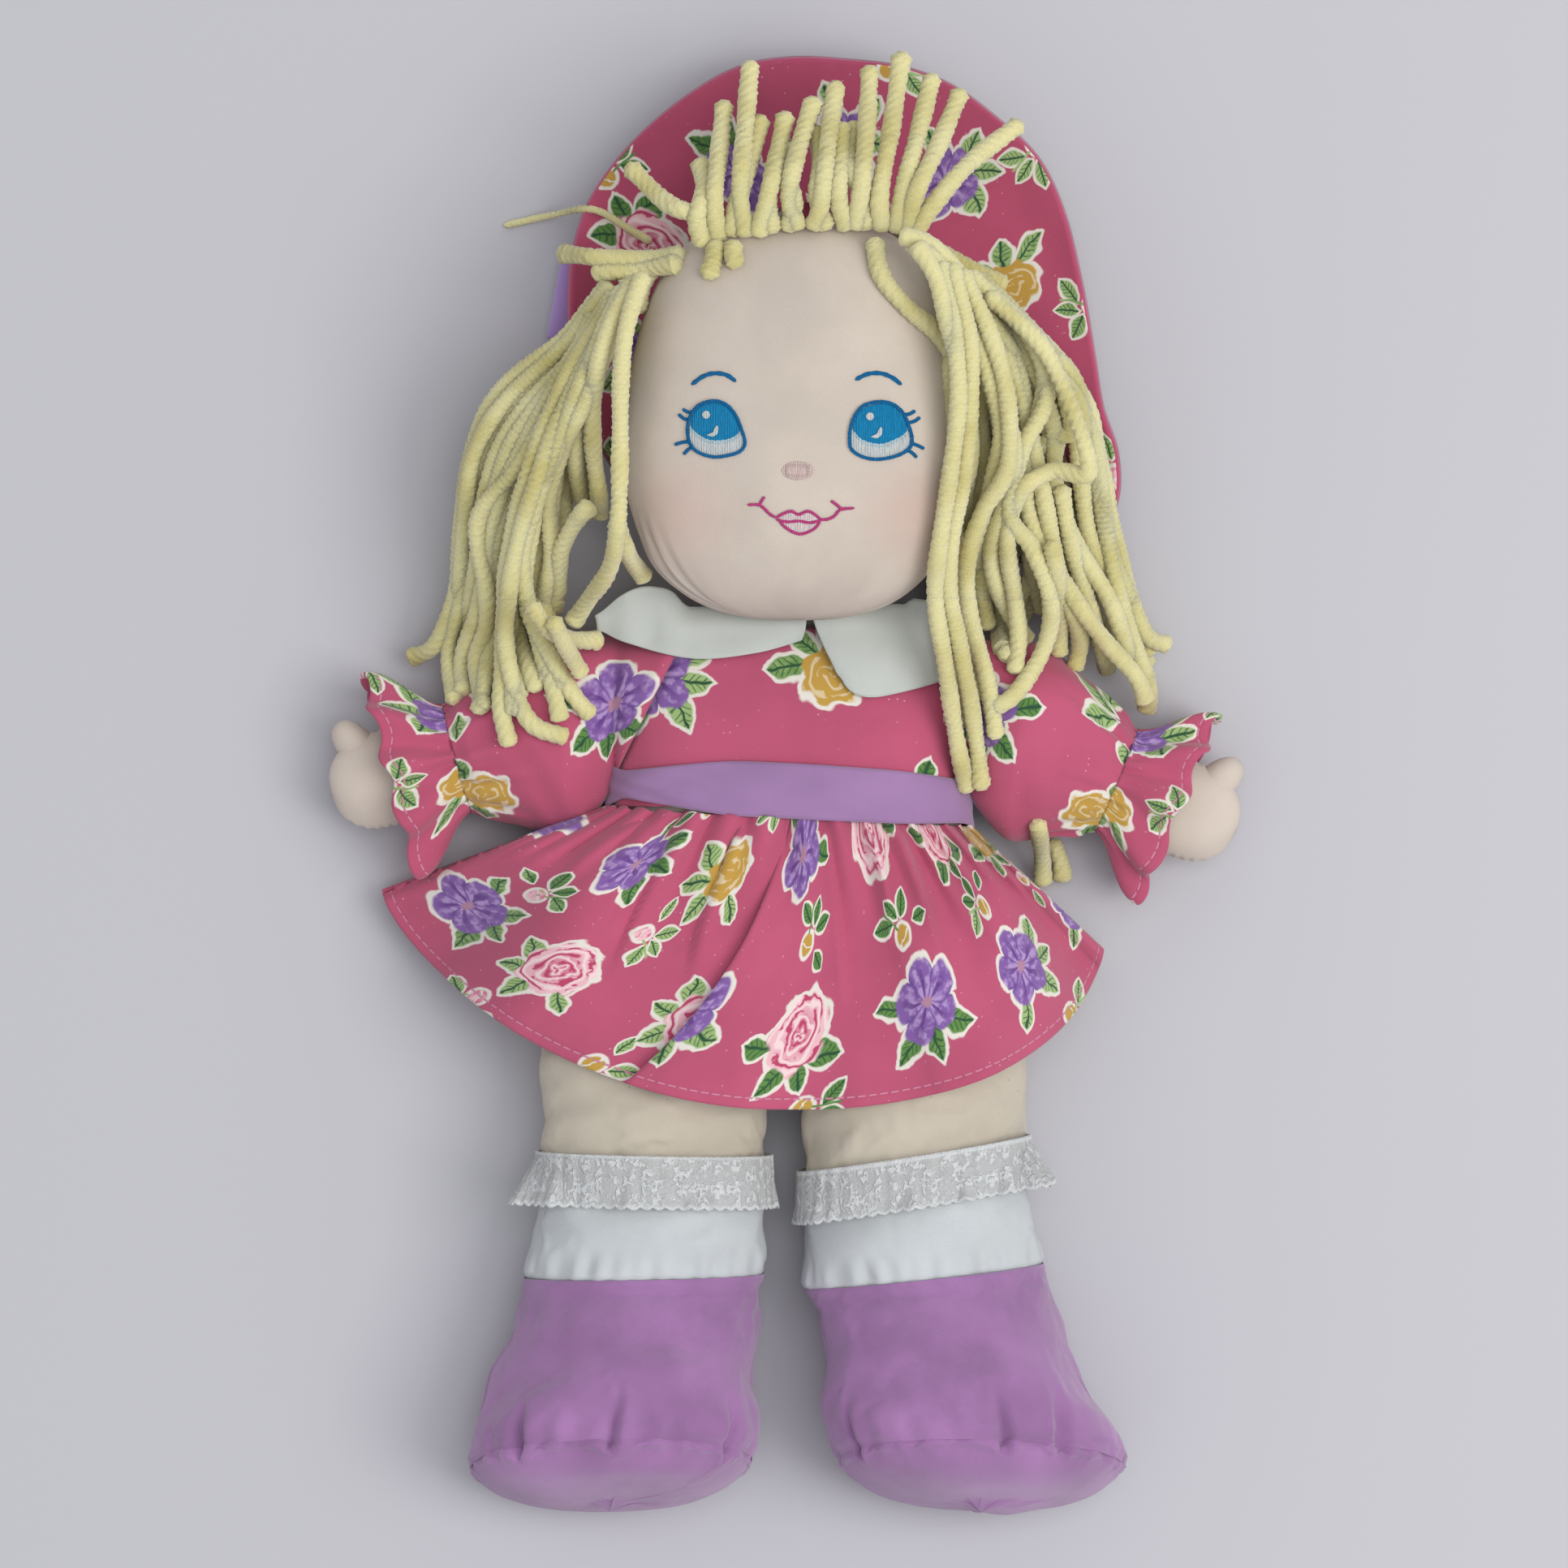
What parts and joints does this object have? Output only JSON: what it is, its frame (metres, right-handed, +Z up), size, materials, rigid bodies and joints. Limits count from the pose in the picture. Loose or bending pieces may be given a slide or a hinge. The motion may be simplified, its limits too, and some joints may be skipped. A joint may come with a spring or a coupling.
{
  "type": "rag doll",
  "caption": "Stuffed cloth rag doll lying on its back, with yarn hair, floral dress with frilled sleeves, wide hat, lace-topped socks and soft shoes; limbs and head hinge at their seams",
  "frame": {"origin": "flat back of the dress bodice, where the lying doll rests on the floor", "axes": "+Z up from the floor towards the face, +Y from feet to head, +X towards the doll's left hand"},
  "size_m": [0.2285, 0.3633, 0.0782],
  "materials": {
    "skin_cloth": "plain woven cotton, matte",
    "yarn": "plied pale yellow wool-like yarn",
    "hat_pink": "printed floral cotton, matte",
    "dress_pink": "printed floral cotton, matte",
    "ribbon_lilac": "satin ribbon, soft sheen",
    "sash_lilac": "plain lilac cotton, slight sheen",
    "collar_white": "plain white cotton, matte",
    "calico": "unbleached calico with flecks, matte",
    "sock_white": "white cotton, matte",
    "lace_white": "gathered white lace",
    "shoe_lilac": "brushed lilac cotton, matte"
  },
  "bodies": {
    "torso": {"torso": "calico", "neck": "calico", "bodice": "dress_pink", "collar_left": "collar_white", "collar_right": "collar_white", "sash": "sash_lilac", "skirt": "dress_pink"},
    "head": {"head": "skin_cloth", "hair_left": "yarn", "hair_right": "yarn", "hair_fringe": "yarn", "hat_crown": "hat_pink", "hat_brim": "hat_pink", "hat_band": "ribbon_lilac", "hat_bow": "ribbon_lilac"},
    "left_arm": {"arm_left": "skin_cloth", "sleeve_left": "dress_pink", "ruffle_left": "dress_pink"},
    "right_arm": {"arm_right": "skin_cloth", "sleeve_right": "dress_pink", "ruffle_right": "dress_pink"},
    "left_leg": {"leg_left": "calico", "sock_left": "sock_white", "lace_left": "lace_white", "shoe_left": "shoe_lilac", "sole_left": "shoe_lilac"},
    "right_leg": {"leg_right": "calico", "sock_right": "sock_white", "lace_right": "lace_white", "shoe_right": "shoe_lilac", "sole_right": "shoe_lilac"}
  },
  "joints": [
    {"name": "neck_nod", "type": "hinge", "parent": "torso", "child": "head", "pos_m": [0.003, 0.0475, 0.026], "axis": [1, 0, 0], "range_deg": [-20, 15], "deforming": ["neck", "hair_left", "hair_right", "collar_left", "collar_right"]},
    {"name": "left_shoulder", "type": "hinge", "parent": "torso", "child": "left_arm", "pos_m": [0.0455, 0.0165, 0.0205], "axis": [0, -1, 0], "range_deg": [-30, 70], "deforming": ["sleeve_left"]},
    {"name": "right_shoulder", "type": "hinge", "parent": "torso", "child": "right_arm", "pos_m": [-0.0425, 0.0165, 0.0205], "axis": [0, 1, 0], "range_deg": [-30, 70], "deforming": ["sleeve_right"]},
    {"name": "left_hip", "type": "hinge", "parent": "torso", "child": "left_leg", "pos_m": [0.0305, -0.036, 0.0205], "axis": [-1, 0, 0], "range_deg": [-25, 80], "deforming": ["skirt"]},
    {"name": "right_hip", "type": "hinge", "parent": "torso", "child": "right_leg", "pos_m": [-0.0275, -0.036, 0.0205], "axis": [-1, 0, 0], "range_deg": [-25, 80]}
  ]
}
